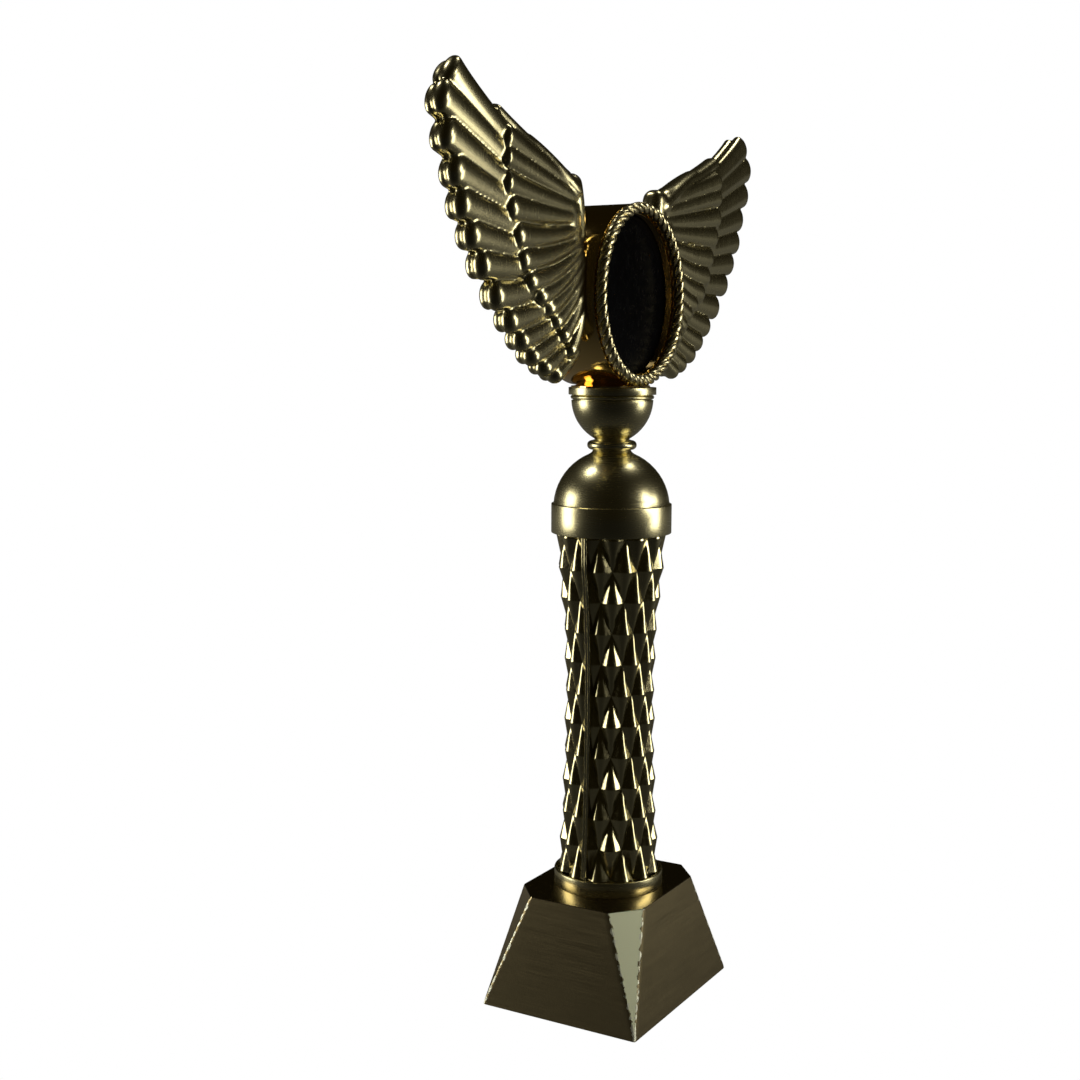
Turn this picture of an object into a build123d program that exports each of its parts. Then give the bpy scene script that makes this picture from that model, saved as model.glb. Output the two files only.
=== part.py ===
from build123d import *
import math
import os

os.makedirs("parts", exist_ok=True)

# Column trophy with a winged insert holder. Millimetres, +Z up, front towards -Y.
# The origin is the bottom centre of the base, where the felt meets the table.

# ---- base ----
BASE_WIDTH = 68.8
BASE_DEPTH = 56.2
BASE_TOP_WIDTH = 54.2
BASE_TOP_DEPTH = 44.6
BASE_HEIGHT = 37.4
BASE_RIM_GAP = 0.4
CORNER_CUT_X = 17.8
CORNER_CUT_Y = 14.3
CAVITY_BOTTOM = (62.4, 49.8)
CAVITY_TOP = (40.0, 32.0)
CAVITY_ROOF = 33.4
PLATE_SIZE = (59.4, 47.0)
PLATE_BOTTOM = 1.0
PLATE_THICKNESS = 2.0
FELT_SIZE = (59.0, 46.6)
WEIGHT_BOTTOM_SIZE = (55.0, 43.6)
WEIGHT_TOP_SIZE = (39.0, 31.0)
WEIGHT_BOTTOM = 10.0

# ---- tie rod and its hardware (M6) ----
ROD_RADIUS = 3.0
ROD_HOLE_RADIUS = 3.3
ROD_BOTTOM = 3.6
ROD_TOP = 209.0
NUT_FLATS = 10.0
NUT_HEIGHT = 5.0
WASHER_RADIUS = 9.0
WASHER_THICKNESS = 1.2

# ---- foot ring and column ----
RING_RADIUS = 18.1
RING_TOP = 42.4
RING_BORE = 17.1
RING_FLOOR = 1.5
COLUMN_TOP = 158.0
COLUMN_BORE = 11.6
WAIST_RADIUS = 14.95
WAIST_HEIGHT = 106.0
FLARE_BELOW = 0.0005
FLARE_ABOVE = 0.0018
CREST_LIMIT = 17.9
DIAMONDS_AROUND = 12
FACETS = 4
FIRST_LEVEL = 32.2
LEVEL_STEP = 10.2
LEVELS = 14
CREST_DEPTH = 2.3
RIB_WIDTH = 1.7
RIB_RISE = 0.55
RIB_STEPS = 12
PLUG_CLEARANCE = 0.2

# ---- dome cap ----
SKIRT_RADIUS = 19.65
SKIRT_BORE = 18.1
SKIRT_BOTTOM = 155.5
SKIRT_TOP = 165.0
DOME_RADIUS = 19.0
DOME_CENTRE = 163.6
DOME_WALL = 1.8
NECK_RADIUS = 6.1
NECK_TOP = 182.6

# ---- riser cup ----
BEAD_RADIUS = 8.05
BEAD_HEIGHT = 3.0
CUP_RADIUS = 13.3
CUP_TOP = 198.6
RIM_RADIUS = 14.2
RIM_BOTTOM = 200.3
RIM_TOP = 202.7
CUP_WALL = 1.6

# ---- winged figure ----
DRUM_HEIGHT = 232.0
DRUM_RADIUS = 28.6
DRUM_FRONT = -8.45
DRUM_BACK = 11.7
DRUM_BORE = 25.4
WEB_FRONT = -4.6
WEB_BACK = -2.4
COVER_RADIUS = 26.6
COVER_THICKNESS = 1.5
FOOT_RADIUS = 13.4
BOSS_RADIUS = 6.6
BOSS_TOP = 212.0
INSERT_RADIUS = 4.0
ROPE_RADIUS = 27.2
ROPE_THICKNESS = 1.9
ROPE_FRONT = -10.35
DISC_RADIUS = 25.0
DISC_THICKNESS = 1.0
PAD_RADIUS = 23.5
PAD_THICKNESS = 0.7
SCREW_RADIUS = 1.5
SCREW_HEIGHTS = (222.0, 240.0)
SCREW_DEPTH = 0.6
SCREW_HEAD_RADIUS = 2.4
SCREW_END = 35.5

# ---- wings: the far end of every feather on the right wing, as (x, z) ----
PRIMARY_TIPS = (
    (96.9, 289.1), (102.0, 281.6), (99.9, 272.6), (96.0, 263.4), (92.9, 254.6),
    (88.3, 246.5), (82.9, 238.3), (76.0, 229.9), (68.6, 222.6), (62.5, 216.8),
    (56.4, 212.2), (49.2, 208.4), (42.6, 204.9),
)
COVERT_TIPS = (
    (72.6, 275.4), (72.0, 269.4), (71.9, 262.9), (70.3, 255.4), (67.0, 247.6),
    (64.4, 240.6), (60.2, 234.6), (54.6, 230.0), (49.8, 226.4), (45.4, 222.6),
    (41.0, 218.4), (36.4, 213.6),
)
PRIMARY_HALF_THICKNESS = 3.4
COVERT_HALF_THICKNESS = 4.6
EDGE_HALF_THICKNESS = 5.0
ROOT_HALF_THICKNESS = 6.4
FEATHER_DRAFT = 38
WING_INNER_EDGE = 23.3


def save(shape, name):
    """Label one piece and write it to its own file."""
    shape.label = name
    export_step(shape, f"parts/{name}.step")


def polyhedron(corner_loops):
    """A solid bounded by flat faces, each given as a loop of corners."""
    faces = [Face(Wire.make_polygon(loop, close=True)) for loop in corner_loops]
    return Solid(Shell(faces))


def disc(radius, bottom, top, hole=0.0):
    """An upright round disc, with a central hole if one is asked for."""
    place = Pos(0, 0, bottom)
    height = top - bottom
    low = (Align.CENTER, Align.CENTER, Align.MIN)
    body = place * Cylinder(radius, height, align=low)
    if hole > 0:
        body -= place * Cylinder(hole, height, align=low)
    return body


def frustum(bottom_size, top_size, bottom, top):
    """A block whose rectangle changes size evenly from bottom to top."""
    low = Plane.XY.offset(bottom) * Rectangle(*bottom_size)
    high = Plane.XY.offset(top) * Rectangle(*top_size)
    return loft([low, high])


def hex_nut(bottom):
    """A plain hexagon nut on the tie rod."""
    outline = RegularPolygon(NUT_FLATS / 2, 6, major_radius=False)
    nut = Pos(0, 0, bottom) * extrude(outline, NUT_HEIGHT)
    return nut - disc(ROD_RADIUS, bottom, bottom + NUT_HEIGHT)


def column_radius(height):
    """Crest radius of the column, slimmest at the waist."""
    flare = FLARE_ABOVE if height > WAIST_HEIGHT else FLARE_BELOW
    return min(CREST_LIMIT, WAIST_RADIUS + flare * (height - WAIST_HEIGHT) ** 2)


# ---------------------------------------------------------------- base
def base_outline():
    """Sloping block whose upright corners are cut by facets that run out at the bottom."""
    foot_x = BASE_WIDTH / 2
    foot_y = BASE_DEPTH / 2
    top_x = BASE_TOP_WIDTH / 2
    top_y = BASE_TOP_DEPTH / 2
    bottom = BASE_RIM_GAP
    top = BASE_HEIGHT
    feet = [(-foot_x, -foot_y, bottom), (foot_x, -foot_y, bottom)]
    feet += [(foot_x, foot_y, bottom), (-foot_x, foot_y, bottom)]
    rim = []
    for sign_x, sign_y in ((-1, -1), (1, -1), (1, 1), (-1, 1)):
        on_side = (sign_x * top_x, sign_y * CORNER_CUT_Y, top)
        on_front = (sign_x * CORNER_CUT_X, sign_y * top_y, top)
        rim += [on_side, on_front] if sign_x == sign_y else [on_front, on_side]
    loops = [feet, rim]
    for corner in range(4):
        entry = rim[2 * corner]
        leave = rim[2 * corner + 1]
        following = rim[(2 * corner + 2) % 8]
        loops.append([feet[corner], entry, leave])
        loops.append([feet[corner], leave, following, feet[(corner + 1) % 4]])
    return polyhedron(loops)


base_shell = base_outline()
base_shell -= frustum(CAVITY_BOTTOM, CAVITY_TOP, BASE_RIM_GAP, CAVITY_ROOF)
base_shell -= disc(ROD_HOLE_RADIUS, CAVITY_ROOF - 1, BASE_HEIGHT + 1)
save(base_shell, "base_shell")

base_weight = frustum(WEIGHT_BOTTOM_SIZE, WEIGHT_TOP_SIZE, WEIGHT_BOTTOM, CAVITY_ROOF)
base_weight -= disc(ROD_HOLE_RADIUS, WEIGHT_BOTTOM - 1, CAVITY_ROOF + 1)
save(base_weight, "base_weight")

base_plate = Pos(0, 0, PLATE_BOTTOM) * extrude(RectangleRounded(*PLATE_SIZE, 2), PLATE_THICKNESS)
save(base_plate, "base_plate")

felt_pad = extrude(RectangleRounded(*FELT_SIZE, 3), PLATE_BOTTOM)
save(felt_pad, "felt_pad")

# ---------------------------------------------------------------- tie rod
washer_bottom = WEIGHT_BOTTOM - WASHER_THICKNESS
save(disc(ROD_RADIUS, ROD_BOTTOM, ROD_TOP), "tie_rod")
save(disc(WASHER_RADIUS, washer_bottom, WEIGHT_BOTTOM, ROD_HOLE_RADIUS), "bottom_washer")
save(hex_nut(washer_bottom - NUT_HEIGHT), "bottom_nut")

# ---------------------------------------------------------------- foot ring
ring_floor_top = BASE_HEIGHT + RING_FLOOR
foot_ring = disc(RING_RADIUS, BASE_HEIGHT, RING_TOP, ROD_HOLE_RADIUS)
foot_ring -= disc(RING_BORE, ring_floor_top, RING_TOP + 1)
foot_ring = chamfer(foot_ring.edges().group_by(Axis.Z)[-1], 0.3)
save(foot_ring, "foot_ring")


# ---------------------------------------------------------------- column
def level_height(level):
    return FIRST_LEVEL + LEVEL_STEP * level


def valley_corner(level, angle):
    """Where six facets of the relief meet at the bottom of the valleys."""
    height = level_height(level)
    half_pitch = math.pi / DIAMONDS_AROUND
    radius = (column_radius(height) - CREST_DEPTH) / math.cos(half_pitch)
    return (radius * math.cos(angle), radius * math.sin(angle), height)


def crest_arc(level, angle):
    """Bulging horizontal edge across the middle of one diamond, from corner to corner."""
    half_pitch = math.pi / DIAMONDS_AROUND
    left = valley_corner(level, angle - half_pitch)
    right = valley_corner(level, angle + half_pitch)
    half_chord = math.dist(left, right) / 2
    bend = (half_chord**2 + CREST_DEPTH**2) / (2 * CREST_DEPTH)
    sweep = 2 * math.asin(half_chord / bend)
    centre = column_radius(level_height(level)) - bend
    arc = [left]
    for step in range(1, FACETS):
        turn = sweep * (step / FACETS - 0.5)
        along = centre + bend * math.cos(turn)
        across = bend * math.sin(turn)
        x = along * math.cos(angle) - across * math.sin(angle)
        y = along * math.sin(angle) + across * math.cos(angle)
        arc.append((x, y, level_height(level)))
    return arc + [right]


def half_relief():
    """Diamond relief on the half of the column where y is positive, closed by flat faces."""
    pitch = 2 * math.pi / DIAMONDS_AROUND
    loops = []
    rows = []
    for level in range(LEVELS):
        row = []
        if level % 2:
            # Diamonds of these rows meet corner to corner on the parting line.
            for diamond in range(DIAMONDS_AROUND // 2):
                row.append(((diamond + 0.5) * pitch, 0, FACETS))
        else:
            # Diamonds of these rows are split down the middle by the parting line.
            row.append((0.0, FACETS // 2, FACETS))
            for diamond in range(1, DIAMONDS_AROUND // 2):
                row.append((diamond * pitch, 0, FACETS))
            row.append((math.pi, 0, FACETS // 2))
        rows.append(row)
    outlines = []
    for level, row in enumerate(rows):
        outline = []
        for angle, first, last in row:
            arc = crest_arc(level, angle)[first : last + 1]
            outline += arc if not outline else arc[1:]
            for other in (level - 1, level + 1):
                if 0 <= other < LEVELS:
                    tip = valley_corner(other, angle)
                    for start, end in zip(arc, arc[1:]):
                        loops.append([start, end, tip])
        outlines.append(outline)
    loops.append(outlines[0])
    loops.append(outlines[-1])
    right_edge = [outline[0] for outline in outlines]
    left_edge = [outline[-1] for outline in outlines]
    loops.append(right_edge + left_edge[::-1])
    return loops


def snapped(corner):
    """Corners on the parting plane sit on it exactly."""
    x, y, z = corner
    return (x, 0.0 if abs(y) < 1e-6 else y, z)


def column_half():
    loops = [[snapped(corner) for corner in loop] for loop in half_relief()]
    half = polyhedron(loops)
    # Parting ribs follow the flare down both sides of the half.
    rib_bottom = RING_TOP + 0.3
    rib_step = (SKIRT_BOTTOM - 0.3 - rib_bottom) / RIB_STEPS
    steps = [rib_bottom + rib_step * n for n in range(RIB_STEPS + 1)]
    for side in (-1, 1):
        outer = [(side * (column_radius(z) + RIB_RISE), z) for z in steps]
        inner = [(side * (COLUMN_BORE - 0.4), z) for z in (steps[-1], steps[0])]
        rib = Plane.XZ * make_face(Polyline(*outer, *inner, close=True))
        half += extrude(rib, -RIB_WIDTH / 2)
    half -= disc(COLUMN_BORE, FIRST_LEVEL - 1, level_height(LEVELS))
    reach = 4 * SKIRT_RADIUS
    height = COLUMN_TOP - ring_floor_top
    slab = Pos(0, 0, ring_floor_top + height / 2) * Box(reach, reach, height)
    return half & slab


rear_half = column_half()
save(rear_half, "column_rear_half")
save(mirror(rear_half, Plane.XZ), "column_front_half")

plug_radius = COLUMN_BORE - PLUG_CLEARANCE
save(disc(plug_radius, ring_floor_top, ring_floor_top + 4, ROD_HOLE_RADIUS), "bottom_plug")
top_plug = disc(plug_radius, COLUMN_TOP - 4, COLUMN_TOP, ROD_HOLE_RADIUS)
top_plug += disc(15.6, COLUMN_TOP, COLUMN_TOP + 1.6, ROD_HOLE_RADIUS)
save(top_plug, "top_plug")

column_washer_bottom = COLUMN_TOP + 1.6
column_nut_bottom = column_washer_bottom + WASHER_THICKNESS
save(disc(WASHER_RADIUS, column_washer_bottom, column_nut_bottom, ROD_HOLE_RADIUS), "column_washer")
save(hex_nut(column_nut_bottom), "column_nut")


# ---------------------------------------------------------------- dome cap
def dome_height(radius, sphere):
    return DOME_CENTRE + math.sqrt(sphere**2 - radius**2)


inner_dome = DOME_RADIUS - DOME_WALL
shoulder = COLUMN_TOP + 0.1
shoulder_radius = math.sqrt(inner_dome**2 - (DOME_CENTRE - shoulder) ** 2)
step_radius = math.sqrt(DOME_RADIUS**2 - (SKIRT_TOP - DOME_CENTRE) ** 2)
fillet_radius = 7.4
fillet_height = dome_height(fillet_radius, DOME_RADIUS)
cap_outline = [
    Line((SKIRT_BORE, SKIRT_BOTTOM), (SKIRT_RADIUS, SKIRT_BOTTOM)),
    Line((SKIRT_RADIUS, SKIRT_BOTTOM), (SKIRT_RADIUS, SKIRT_TOP)),
    Line((SKIRT_RADIUS, SKIRT_TOP), (step_radius, SKIRT_TOP)),
    ThreePointArc(
        (step_radius, SKIRT_TOP),
        (DOME_RADIUS * 0.8, dome_height(DOME_RADIUS * 0.8, DOME_RADIUS)),
        (fillet_radius, fillet_height),
    ),
    ThreePointArc(
        (fillet_radius, fillet_height),
        (NECK_RADIUS + 0.35, fillet_height + 0.75),
        (NECK_RADIUS, NECK_TOP),
    ),
    Line((NECK_RADIUS, NECK_TOP), (ROD_HOLE_RADIUS, NECK_TOP)),
    Line((ROD_HOLE_RADIUS, NECK_TOP), (ROD_HOLE_RADIUS, dome_height(5, inner_dome))),
    Line((ROD_HOLE_RADIUS, dome_height(5, inner_dome)), (5, dome_height(5, inner_dome))),
    ThreePointArc(
        (5, dome_height(5, inner_dome)),
        (inner_dome, DOME_CENTRE),
        (shoulder_radius, shoulder),
    ),
    Line((shoulder_radius, shoulder), (SKIRT_BORE, shoulder)),
    Line((SKIRT_BORE, shoulder), (SKIRT_BORE, SKIRT_BOTTOM)),
]
save(revolve(Plane.XZ * make_face(cap_outline), Axis.Z), "dome_cap")

# ---------------------------------------------------------------- riser cup
bead_top = NECK_TOP + BEAD_HEIGHT
cup_outline = [
    Line((ROD_HOLE_RADIUS, NECK_TOP), (BEAD_RADIUS - 1.1, NECK_TOP)),
    ThreePointArc(
        (BEAD_RADIUS - 1.1, NECK_TOP),
        (BEAD_RADIUS, NECK_TOP + BEAD_HEIGHT / 2),
        (BEAD_RADIUS - 0.9, bead_top),
    ),
    Line((BEAD_RADIUS - 0.9, bead_top), (BEAD_RADIUS - 0.9, bead_top + 0.3)),
    ThreePointArc((BEAD_RADIUS - 0.9, bead_top + 0.3), (11.45, 190.7), (CUP_RADIUS, CUP_TOP)),
    Line((CUP_RADIUS, CUP_TOP), (CUP_RADIUS - 0.5, CUP_TOP)),
    Line((CUP_RADIUS - 0.5, CUP_TOP), (CUP_RADIUS - 0.5, CUP_TOP + 0.4)),
    ThreePointArc(
        (CUP_RADIUS - 0.5, CUP_TOP + 0.4),
        (CUP_RADIUS + 0.3, CUP_TOP + 0.9),
        (CUP_RADIUS - 0.3, RIM_BOTTOM - 0.2),
    ),
    Line((CUP_RADIUS - 0.3, RIM_BOTTOM - 0.2), (RIM_RADIUS, RIM_BOTTOM)),
    Line((RIM_RADIUS, RIM_BOTTOM), (RIM_RADIUS, RIM_TOP - 0.3)),
    Line((RIM_RADIUS, RIM_TOP - 0.3), (RIM_RADIUS - 0.3, RIM_TOP)),
    Line((RIM_RADIUS - 0.3, RIM_TOP), (ROD_HOLE_RADIUS, RIM_TOP)),
    Line((ROD_HOLE_RADIUS, RIM_TOP), (ROD_HOLE_RADIUS, RIM_TOP - CUP_WALL)),
    Line((ROD_HOLE_RADIUS, RIM_TOP - CUP_WALL), (CUP_RADIUS - CUP_WALL, RIM_TOP - CUP_WALL)),
    Line((CUP_RADIUS - CUP_WALL, RIM_TOP - CUP_WALL), (CUP_RADIUS - CUP_WALL, CUP_TOP)),
    ThreePointArc((CUP_RADIUS - CUP_WALL, CUP_TOP), (9.7, 191.4), (5.5, 188.0)),
    Line((5.5, 188.0), (ROD_HOLE_RADIUS, 188.0)),
    Line((ROD_HOLE_RADIUS, 188.0), (ROD_HOLE_RADIUS, NECK_TOP)),
]
save(revolve(Plane.XZ * make_face(cup_outline), Axis.Z), "riser_cup")


# ---------------------------------------------------------------- figure
def across(radius, front, back):
    """A cylinder lying front to back, centred on the drum's axis."""
    middle = (front + back) / 2
    return Pos(0, middle, DRUM_HEIGHT) * Rot(90, 0, 0) * Cylinder(radius, back - front)


foot_outline = [
    Line((0, RIM_TOP), (FOOT_RADIUS, RIM_TOP)),
    Line((FOOT_RADIUS, RIM_TOP), (FOOT_RADIUS, RIM_TOP + 0.8)),
    ThreePointArc((FOOT_RADIUS, RIM_TOP + 0.8), (11.2, RIM_TOP + 3.0), (10.6, RIM_TOP + 6.0)),
    Line((10.6, RIM_TOP + 6.0), (0, RIM_TOP + 6.0)),
    Line((0, RIM_TOP + 6.0), (0, RIM_TOP)),
]
foot = revolve(Plane.XZ * make_face(foot_outline), Axis.Z)
foot &= Pos(0, DRUM_FRONT + 20, DRUM_HEIGHT) * Box(60, 40, 80)
cover_seat = DRUM_BACK - COVER_THICKNESS
figure_drum = across(DRUM_RADIUS, DRUM_FRONT, DRUM_BACK) + foot
figure_drum -= across(DRUM_BORE, WEB_BACK, DRUM_BACK + 1)
figure_drum -= across(COVER_RADIUS, cover_seat, DRUM_BACK + 1)
figure_drum += disc(BOSS_RADIUS, RIM_TOP + 1, BOSS_TOP)
figure_drum -= across(DRUM_BORE, DRUM_FRONT - 20, WEB_FRONT)
figure_drum -= disc(INSERT_RADIUS, RIM_TOP - 1, BOSS_TOP + 1)
for side in (-1, 1):
    for height in SCREW_HEIGHTS:
        hole = Pos(side * DRUM_BORE, SCREW_DEPTH, height) * Rot(0, 90, 0)
        figure_drum -= hole * Cylinder(SCREW_RADIUS, 20)
save(figure_drum, "figure_drum")

save(disc(INSERT_RADIUS, RIM_TOP, BOSS_TOP, ROD_RADIUS), "threaded_insert")
save(across(COVER_RADIUS - 0.1, cover_seat, DRUM_BACK), "back_cover")
pad_front = WEB_FRONT - PAD_THICKNESS
save(across(PAD_RADIUS, pad_front, WEB_FRONT), "disc_pad")
save(across(DISC_RADIUS, pad_front - DISC_THICKNESS, pad_front), "insert_disc")
rope = Pos(0, ROPE_FRONT, DRUM_HEIGHT) * Rot(90, 0, 0) * Torus(ROPE_RADIUS, ROPE_THICKNESS)
save(rope, "rope_ring")


# ---------------------------------------------------------------- wings
def feather_outline(root, tip, root_radius, tip_radius, inset):
    """Flat outline of one feather, drawn smaller by the inset all round."""
    length = math.dist(root, tip)
    centre_x = tip[0] + (root[0] - tip[0]) * tip_radius / length
    centre_z = tip[1] + (root[1] - tip[1]) * tip_radius / length
    near = Pos(*root) * Circle(root_radius - inset)
    far = Pos(centre_x, centre_z) * Circle(tip_radius - inset)
    return make_hull([near.edges()[0], far.edges()[0]])


def feather(root, tip, root_radius, tip_radius, half_thickness):
    """One drafted feather, fattest on the wing's middle plane, rounded at both ends."""
    inset = half_thickness * math.tan(math.radians(FEATHER_DRAFT))
    widest = feather_outline(root, tip, root_radius, tip_radius, 0)
    flat = feather_outline(root, tip, root_radius, tip_radius, inset)
    front = loft([Plane.XZ * widest, Plane.XZ.offset(half_thickness) * flat], ruled=True)
    return front + mirror(front, Plane.XZ)


def wing():
    feathers = []
    last = len(PRIMARY_TIPS) - 1
    for number, tip in enumerate(PRIMARY_TIPS):
        share = number / last
        root = (34 - 2 * share, 258 - 42 * share)
        tip_radius = 5.3 - 0.9 * share
        feathers.append(feather(root, tip, 4.0, tip_radius, PRIMARY_HALF_THICKNESS))
    last = len(COVERT_TIPS) - 1
    for number, tip in enumerate(COVERT_TIPS):
        share = number / last
        root = (30 + 1 * share, 262 - 34 * share)
        tip_radius = 5.8 - 1.6 * share
        feathers.append(feather(root, tip, 4.2, tip_radius, COVERT_HALF_THICKNESS))
    # The leading edge runs from the shoulder along the upper outline.
    feathers.append(feather((30.5, 262.2), (70.5, 281.2), 7.0, 5.4, EDGE_HALF_THICKNESS))
    # The root is thickest beside the drum, where the wing is screwed on.
    feathers.append(feather((31.0, 250.0), (32.0, 214.0), 7.0, 6.0, ROOT_HALF_THICKNESS))
    body = feathers[0].fuse(*feathers[1:])
    body -= across(DRUM_RADIUS, -30, 30)
    body -= Pos(WING_INNER_EDGE - 50, 0, DRUM_HEIGHT) * Box(100, 60, 200)
    body -= Pos(0, 0, RIM_TOP - 48.5) * Box(300, 60, 100)
    for height in SCREW_HEIGHTS:
        body -= Pos(SCREW_END - 8, SCREW_DEPTH, height) * Rot(0, 90, 0) * Cylinder(SCREW_RADIUS, 16)
    return body


right_wing = wing()
save(right_wing, "right_wing")
save(mirror(right_wing, Plane.YZ), "left_wing")

# Four screws hold the wings: head inside the drum, shank through its wall into the root.
screws = []
for side in (-1, 1):
    for height in SCREW_HEIGHTS:
        off_axis = abs(height - DRUM_HEIGHT) + SCREW_HEAD_RADIUS
        head_start = math.sqrt(DRUM_BORE**2 - off_axis**2) - 1.1
        seat = Pos(side * head_start, SCREW_DEPTH, height) * Rot(0, side * 90, 0)
        low = (Align.CENTER, Align.CENTER, Align.MIN)
        shank = seat * Cylinder(SCREW_RADIUS, SCREW_END - head_start, align=low)
        screws.append(shank + seat * Cylinder(SCREW_HEAD_RADIUS, 1.0, align=low))
save(Compound(children=screws), "wing_screws")
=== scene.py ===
# %% [markdown]
# # Column trophy
# This lesson gives looks to a column trophy whose parts are already fixed in size and place.
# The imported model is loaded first. Every new piece is then drawn in millimetres around the
# same origin, the bottom centre of the base, and shrunk to metres when it is finished.

# %% Load the fixed frame
import math

import bmesh
import bpy
from mathutils import Matrix, Quaternion, Vector, noise


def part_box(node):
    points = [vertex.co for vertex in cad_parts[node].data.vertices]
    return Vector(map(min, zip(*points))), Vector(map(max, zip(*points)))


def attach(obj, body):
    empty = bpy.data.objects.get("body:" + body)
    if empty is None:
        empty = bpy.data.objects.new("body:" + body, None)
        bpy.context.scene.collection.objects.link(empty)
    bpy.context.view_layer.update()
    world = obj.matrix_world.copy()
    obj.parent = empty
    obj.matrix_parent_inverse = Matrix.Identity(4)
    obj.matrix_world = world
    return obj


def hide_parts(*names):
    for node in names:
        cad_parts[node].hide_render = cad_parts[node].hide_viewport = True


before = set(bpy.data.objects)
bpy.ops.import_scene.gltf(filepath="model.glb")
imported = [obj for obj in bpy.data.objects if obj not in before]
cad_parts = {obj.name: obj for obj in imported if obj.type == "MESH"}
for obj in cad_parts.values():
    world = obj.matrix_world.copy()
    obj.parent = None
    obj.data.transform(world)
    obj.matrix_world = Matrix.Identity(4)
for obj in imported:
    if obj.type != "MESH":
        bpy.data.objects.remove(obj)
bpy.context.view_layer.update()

# %% [markdown]
# A few helpers are shared by all the pieces. One turns a finished bmesh into an object that
# rides on the trophy's only body. One draws a lathe profile: a pen starts at a point, moves
# in straight lines, and goes round arcs with the spin operator. One turns that profile, one
# softens its corners, and one joins two castings or cuts one with the other.

# %% Shared helpers
MM = 0.001
MERGE_WITHIN = 0.001
CUT_WITHIN = 0.0001
ARC_STEP = 6
SHARP_TURN = math.radians(28)


def millimetres(node):
    """Lowest and highest corner of a frame node, in millimetres."""
    low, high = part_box(node)
    return Vector(low) / MM, Vector(high) / MM


def mark_sharp(bm, sharp_turn):
    """Keeps real corners crisp while the faces between them shade smoothly."""
    for face in bm.faces:
        face.smooth = True
    for edge in bm.edges:
        edge.smooth = edge.calc_face_angle(0) < sharp_turn


def linked_object(bm, name):
    """Scales a drawing to metres and links it to the scene as an object."""
    bmesh.ops.scale(bm, vec=(MM, MM, MM), verts=bm.verts)
    mesh = bpy.data.meshes.new(name)
    bm.to_mesh(mesh)
    bm.free()
    made = bpy.data.objects.new(name, mesh)
    bpy.context.scene.collection.objects.link(made)
    return made


def finish_piece(bm, name, material, slot_name, *nodes, sharp_turn=SHARP_TURN):
    """Closes up the mesh, scales it to metres and hands it over to the frame."""
    bmesh.ops.remove_doubles(bm, verts=bm.verts, dist=MERGE_WITHIN)
    bmesh.ops.recalc_face_normals(bm, faces=bm.faces)
    mark_sharp(bm, sharp_turn)
    piece = linked_object(bm, name)
    piece.data.materials.append(material)
    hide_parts(*nodes)
    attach(piece, "root")
    size = [round(v / MM, 1) for v in piece.dimensions]
    print(name, "faces", len(piece.data.polygons), "size mm", size)
    return piece


def draw_profile(bm, start, moves):
    """A half outline in the XZ plane. Moves are ("line", r, z) or ("arc", r, z, degrees)."""
    pen = bm.verts.new((start[0], 0, start[1]))
    for kind, r, z, *turn in moves:
        if kind == "line":
            corner = bm.verts.new((r, 0, z))
            bm.edges.new((pen, corner))
            pen = corner
        else:
            steps = max(3, round(abs(turn[0]) / ARC_STEP))
            swept = bmesh.ops.spin(
                bm, geom=[pen], cent=(r, 0, z), axis=(0, -1, 0),
                angle=math.radians(turn[0]), steps=steps,
            )
            pen = next(v for v in swept["geom_last"] if isinstance(v, bmesh.types.BMVert))


def lathe(bm, steps=128):
    """Turns everything drawn so far once round the vertical axis."""
    bmesh.ops.remove_doubles(bm, verts=bm.verts, dist=MERGE_WITHIN)
    bmesh.ops.spin(
        bm, geom=bm.verts[:] + bm.edges[:], cent=(0, 0, 0), axis=(0, 0, 1),
        angle=math.tau, steps=steps, use_merge=True,
    )
    bmesh.ops.remove_doubles(bm, verts=bm.verts, dist=MERGE_WITHIN)
    bmesh.ops.recalc_face_normals(bm, faces=bm.faces)


def soften_corners(bm, width, angle=40):
    """A narrow bevel on the sharp corners, so that they catch the light."""
    corners = [e for e in bm.edges if e.calc_face_angle(0) > math.radians(angle)]
    bmesh.ops.bevel(
        bm, geom=corners, offset=width, offset_type="OFFSET", segments=2, profile=0.5,
        affect="EDGES", material=-1, clamp_overlap=True,
    )


def apply_modifiers(piece):
    """Replaces a piece's mesh with what its modifiers make of it."""
    result = bpy.data.meshes.new_from_object(
        piece.evaluated_get(bpy.context.evaluated_depsgraph_get())
    )
    piece.modifiers.clear()
    old = piece.data
    piece.data = result
    bpy.data.meshes.remove(old)


def combine(piece, operation, other):
    """Joins another object to a piece, or cuts it away, and then removes that object."""
    change = piece.modifiers.new("combine", "BOOLEAN")
    change.operation = operation
    change.object = other
    change.solver = "EXACT"
    apply_modifiers(piece)
    bpy.data.objects.remove(other)


print("one unit is", MM, "m")

# %% [markdown]
# ## Finishes
# The trophy is plated in antique gold that is treated in different ways: satin on the
# lathe-turned parts, the column and the wings, polished on the round holder. The base is a
# darker bronze, brushed level, and gets its finish together with its shape.
# Each finish is made by one helper, with its own colours and grain. The grain is noise
# stretched along the direction of brushing and it drives the roughness and a very fine bump.

# %% Node helpers
def shader_of(material):
    """The principled shader of a finish."""
    return next(n for n in material.node_tree.nodes if n.type == "BSDF_PRINCIPLED")


def noise_value(tree, vector, scale, detail):
    """A grey noise texture on the given coordinates."""
    texture = tree.nodes.new("ShaderNodeTexNoise")
    texture.inputs["Scale"].default_value = scale
    texture.inputs["Detail"].default_value = detail
    tree.links.new(vector, texture.inputs["Vector"])
    return texture.outputs["Fac"]


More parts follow.
